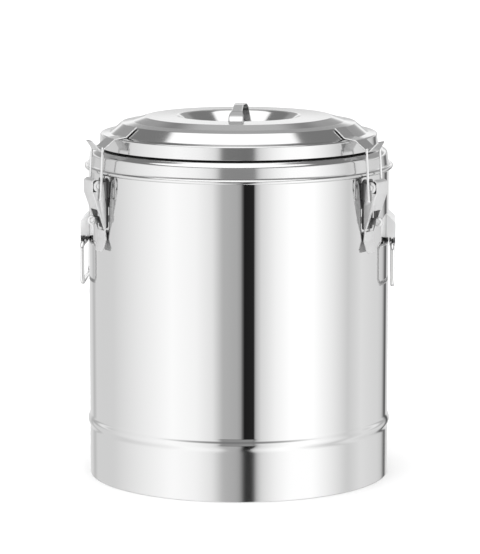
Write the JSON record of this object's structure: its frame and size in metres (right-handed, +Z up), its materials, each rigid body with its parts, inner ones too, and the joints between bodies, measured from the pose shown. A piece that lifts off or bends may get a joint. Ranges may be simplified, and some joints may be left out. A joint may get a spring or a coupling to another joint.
{
  "type": "insulated transport can",
  "caption": "Round double-walled stainless-steel food and milk can with a stepped lid, over-centre clamps with wire bails, a lid strap and hanging side handles.",
  "frame": {"origin": "on the can's axis, in the plane it stands on", "axes": "+Z up along the can's axis, -Y towards the front, midway between the two front latches, with the third latch on +Y and the two carrying handles on +X and -X"},
  "size_m": [0.3872, 0.3963, 0.4581],
  "materials": {
    "mirror_steel": "polished",
    "satin_steel": "satin",
    "bright_wire": "polished",
    "foam": "matte",
    "silicone": "matte"
  },
  "bodies": {
    "can": {"outer_shell": "mirror_steel", "base_pan": "satin_steel", "top_collar": "mirror_steel", "inner_vessel": "satin_steel", "body_insulation": "foam", "latch_base_front_right": "satin_steel", "latch_pin_front_right": "satin_steel", "latch_base_rear": "satin_steel", "latch_pin_rear": "satin_steel", "latch_base_front_left": "satin_steel", "latch_pin_front_left": "satin_steel", "handle_bracket_right": "satin_steel", "handle_bracket_left": "satin_steel"},
    "lid": {"lid_cover": "satin_steel", "lid_liner": "satin_steel", "lid_insulation": "foam", "lid_gasket": "silicone", "lid_handle": "satin_steel", "lid_hook_front_right": "satin_steel", "lid_hook_rear": "satin_steel", "lid_hook_front_left": "satin_steel"},
    "lever_front_right": {"latch_lever_front_right": "satin_steel"},
    "bail_front_right": {"latch_bail_front_right": "bright_wire"},
    "lever_rear": {"latch_lever_rear": "satin_steel"},
    "bail_rear": {"latch_bail_rear": "bright_wire"},
    "lever_front_left": {"latch_lever_front_left": "satin_steel"},
    "bail_front_left": {"latch_bail_front_left": "bright_wire"},
    "handle_right": {"side_handle_right": "bright_wire"},
    "handle_left": {"side_handle_left": "bright_wire"}
  },
  "joints": [
    {"name": "lid_lift", "type": "slide", "parent": "can", "child": "lid", "axis": [0, 0, 1], "range_m": [0, 0.1]},
    {"name": "lever_front_right_swing", "type": "hinge", "parent": "can", "child": "lever_front_right", "pos_m": [0.16905, -0.10037, 0.3687], "axis": [-0.5105, -0.8599, 0], "range_deg": [0, 78]},
    {"name": "bail_front_right_swing", "type": "hinge", "parent": "lever_front_right", "child": "bail_front_right", "pos_m": [0.16845, -0.10002, 0.3523], "axis": [-0.5105, -0.8599, 0], "range_deg": [-58, 0]},
    {"name": "lever_rear_swing", "type": "hinge", "parent": "can", "child": "lever_rear", "pos_m": [0, 0.1966, 0.3687], "axis": [1, 0, 0], "range_deg": [0, 78]},
    {"name": "bail_rear_swing", "type": "hinge", "parent": "lever_rear", "child": "bail_rear", "pos_m": [0, 0.1959, 0.3523], "axis": [1, 0, 0], "range_deg": [-58, 0]},
    {"name": "lever_front_left_swing", "type": "hinge", "parent": "can", "child": "lever_front_left", "pos_m": [-0.16905, -0.10037, 0.3687], "axis": [-0.5105, 0.8599, 0], "range_deg": [0, 78]},
    {"name": "bail_front_left_swing", "type": "hinge", "parent": "lever_front_left", "child": "bail_front_left", "pos_m": [-0.16845, -0.10002, 0.3523], "axis": [-0.5105, 0.8599, 0], "range_deg": [-58, 0]},
    {"name": "handle_right_swing", "type": "hinge", "parent": "can", "child": "handle_right", "pos_m": [0.1896, 0, 0.2904], "axis": [0, -1, 0], "range_deg": [0, 170]},
    {"name": "handle_left_swing", "type": "hinge", "parent": "can", "child": "handle_left", "pos_m": [-0.1896, 0, 0.2904], "axis": [0, 1, 0], "range_deg": [0, 170]}
  ],
  "couplings": [
    {"joint": "bail_front_right_swing", "follows": "lever_front_right_swing", "ratio": -0.74},
    {"joint": "bail_rear_swing", "follows": "lever_rear_swing", "ratio": -0.74},
    {"joint": "bail_front_left_swing", "follows": "lever_front_left_swing", "ratio": -0.74}
  ]
}
